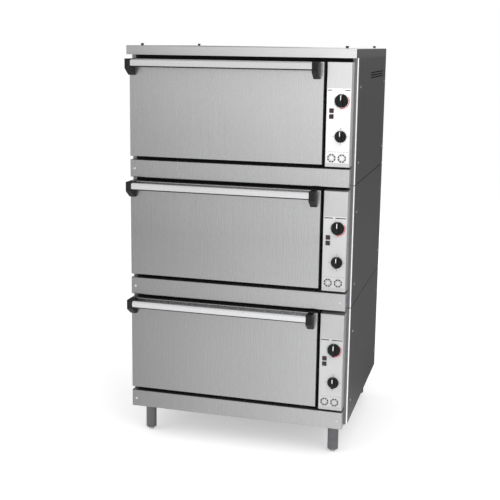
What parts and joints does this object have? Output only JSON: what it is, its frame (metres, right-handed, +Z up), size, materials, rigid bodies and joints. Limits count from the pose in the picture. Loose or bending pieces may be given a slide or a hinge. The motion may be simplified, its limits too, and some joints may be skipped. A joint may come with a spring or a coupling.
{
  "type": "roasting cabinet",
  "caption": "Floor-standing electric roasting cabinet: stacked oven modules with drop-down doors, side control panels, shelves and levelled legs.",
  "frame": {"origin": "on the floor, under the centre of the overall footprint (cabinet, doors and handles)", "axes": "+Z up, +X to the right seen from the front, so the doors, handles and knobs face -Y"},
  "size_m": [0.833, 0.8, 1.482],
  "materials": {
    "stainless_front": "brushed, vertical grain",
    "stainless_panel": "fine satin, light",
    "stainless_strip": "brushed",
    "stainless_side": "brushed, dark in the light",
    "stainless_handle": "polished brush",
    "oven_steel": "mill finish",
    "element_sheath": "heat-darkened",
    "bright_wire": "plated",
    "zinc_steel": "zinc plated",
    "bright_screw": "bright",
    "leg_paint": "satin grey",
    "dark_stud": "black oxide",
    "black_plastic": "satin moulded",
    "lamp_plastic": "smoked lens",
    "black_seal": "woven rope seal",
    "mineral_wool": "fibrous"
  },
  "bodies": {
    "cabinet": {"casing_lower": "stainless_side", "front_frame_lower": "stainless_strip", "back_panel_lower": "stainless_side", "oven_chamber_lower": "oven_steel", "heating_elements_lower": "element_sheath", "apron_lower": "stainless_front", "control_panel_lower": "stainless_panel", "casing_middle": "stainless_side", "front_frame_middle": "stainless_strip", "back_panel_middle": "stainless_side", "oven_chamber_middle": "oven_steel", "heating_elements_middle": "element_sheath", "apron_middle": "stainless_front", "control_panel_middle": "stainless_panel", "casing_upper": "stainless_side", "front_frame_upper": "stainless_strip", "back_panel_upper": "stainless_side", "oven_chamber_upper": "oven_steel", "heating_elements_upper": "element_sheath", "apron_upper": "stainless_front", "control_panel_upper": "stainless_panel", "insulation": "mineral_wool", "shelf_runners": "oven_steel", "door_seals": "black_seal", "hinge_arms": "zinc_steel", "hinge_pins": "zinc_steel", "pilot_lamps": "lamp_plastic", "thermostats": "zinc_steel", "mode_switches": "black_plastic", "panel_screws": "bright_screw", "cable_gland": "black_plastic", "top_cover": "stainless_front", "cover_studs": "dark_stud", "base_plate": "leg_paint", "legs": "leg_paint"},
    "door_lower": {"door_skin_lower": "stainless_front", "door_liner_lower": "oven_steel", "handle_bar_lower": "stainless_handle", "handle_brackets_lower": "black_plastic"},
    "thermostat_lower": {"thermostat_knob_lower": "black_plastic"},
    "switch_lower": {"switch_knob_lower": "black_plastic"},
    "shelf_lower": {"wire_shelf_lower": "bright_wire"},
    "door_middle": {"door_skin_middle": "stainless_front", "door_liner_middle": "oven_steel", "handle_bar_middle": "stainless_handle", "handle_brackets_middle": "black_plastic"},
    "thermostat_middle": {"thermostat_knob_middle": "black_plastic"},
    "switch_middle": {"switch_knob_middle": "black_plastic"},
    "shelf_middle": {"wire_shelf_middle": "bright_wire"},
    "door_upper": {"door_skin_upper": "stainless_front", "door_liner_upper": "oven_steel", "handle_bar_upper": "stainless_handle", "handle_brackets_upper": "black_plastic"},
    "thermostat_upper": {"thermostat_knob_upper": "black_plastic"},
    "switch_upper": {"switch_knob_upper": "black_plastic"},
    "shelf_upper": {"wire_shelf_upper": "bright_wire"},
    "foot_front_left": {"levelling_foot_front_left": "zinc_steel"},
    "foot_front_right": {"levelling_foot_front_right": "zinc_steel"},
    "foot_rear_left": {"levelling_foot_rear_left": "zinc_steel"},
    "foot_rear_right": {"levelling_foot_rear_right": "zinc_steel"}
  },
  "joints": [
    {"name": "door_lower_hinge", "type": "hinge", "parent": "cabinet", "child": "door_lower", "pos_m": [-0.049, -0.342, 0.208], "axis": [1, 0, 0], "range_deg": [0, 90]},
    {"name": "thermostat_lower_turn", "type": "hinge", "parent": "cabinet", "child": "thermostat_lower", "pos_m": [0.368, -0.36, 0.4185], "axis": [0, 1, 0], "range_deg": [0, 300]},
    {"name": "switch_lower_turn", "type": "hinge", "parent": "cabinet", "child": "switch_lower", "pos_m": [0.368, -0.36, 0.297], "axis": [0, 1, 0], "range_deg": [0, 270]},
    {"name": "shelf_lower_slide", "type": "slide", "parent": "cabinet", "child": "shelf_lower", "axis": [0, -1, 0], "range_m": [0, 0.03]},
    {"name": "door_middle_hinge", "type": "hinge", "parent": "cabinet", "child": "door_middle", "pos_m": [-0.049, -0.342, 0.648], "axis": [1, 0, 0], "range_deg": [0, 90]},
    {"name": "thermostat_middle_turn", "type": "hinge", "parent": "cabinet", "child": "thermostat_middle", "pos_m": [0.368, -0.36, 0.8585], "axis": [0, 1, 0], "range_deg": [0, 300]},
    {"name": "switch_middle_turn", "type": "hinge", "parent": "cabinet", "child": "switch_middle", "pos_m": [0.368, -0.36, 0.737], "axis": [0, 1, 0], "range_deg": [0, 270]},
    {"name": "shelf_middle_slide", "type": "slide", "parent": "cabinet", "child": "shelf_middle", "axis": [0, -1, 0], "range_m": [0, 0.03]},
    {"name": "door_upper_hinge", "type": "hinge", "parent": "cabinet", "child": "door_upper", "pos_m": [-0.049, -0.342, 1.088], "axis": [1, 0, 0], "range_deg": [0, 90]},
    {"name": "thermostat_upper_turn", "type": "hinge", "parent": "cabinet", "child": "thermostat_upper", "pos_m": [0.368, -0.36, 1.2985], "axis": [0, 1, 0], "range_deg": [0, 300]},
    {"name": "switch_upper_turn", "type": "hinge", "parent": "cabinet", "child": "switch_upper", "pos_m": [0.368, -0.36, 1.177], "axis": [0, 1, 0], "range_deg": [0, 270]},
    {"name": "shelf_upper_slide", "type": "slide", "parent": "cabinet", "child": "shelf_upper", "axis": [0, -1, 0], "range_m": [0, 0.03]},
    {"name": "foot_front_left_screw", "type": "hinge", "parent": "cabinet", "child": "foot_front_left", "pos_m": [-0.359, -0.266, 0.012], "axis": [0, 0, 1], "range_deg": [0, 1800]},
    {"name": "foot_front_right_screw", "type": "hinge", "parent": "cabinet", "child": "foot_front_right", "pos_m": [0.359, -0.266, 0.012], "axis": [0, 0, 1], "range_deg": [0, 1800]},
    {"name": "foot_rear_left_screw", "type": "hinge", "parent": "cabinet", "child": "foot_rear_left", "pos_m": [-0.359, 0.344, 0.012], "axis": [0, 0, 1], "range_deg": [0, 1800]},
    {"name": "foot_rear_right_screw", "type": "hinge", "parent": "cabinet", "child": "foot_rear_right", "pos_m": [0.359, 0.344, 0.012], "axis": [0, 0, 1], "range_deg": [0, 1800]}
  ]
}
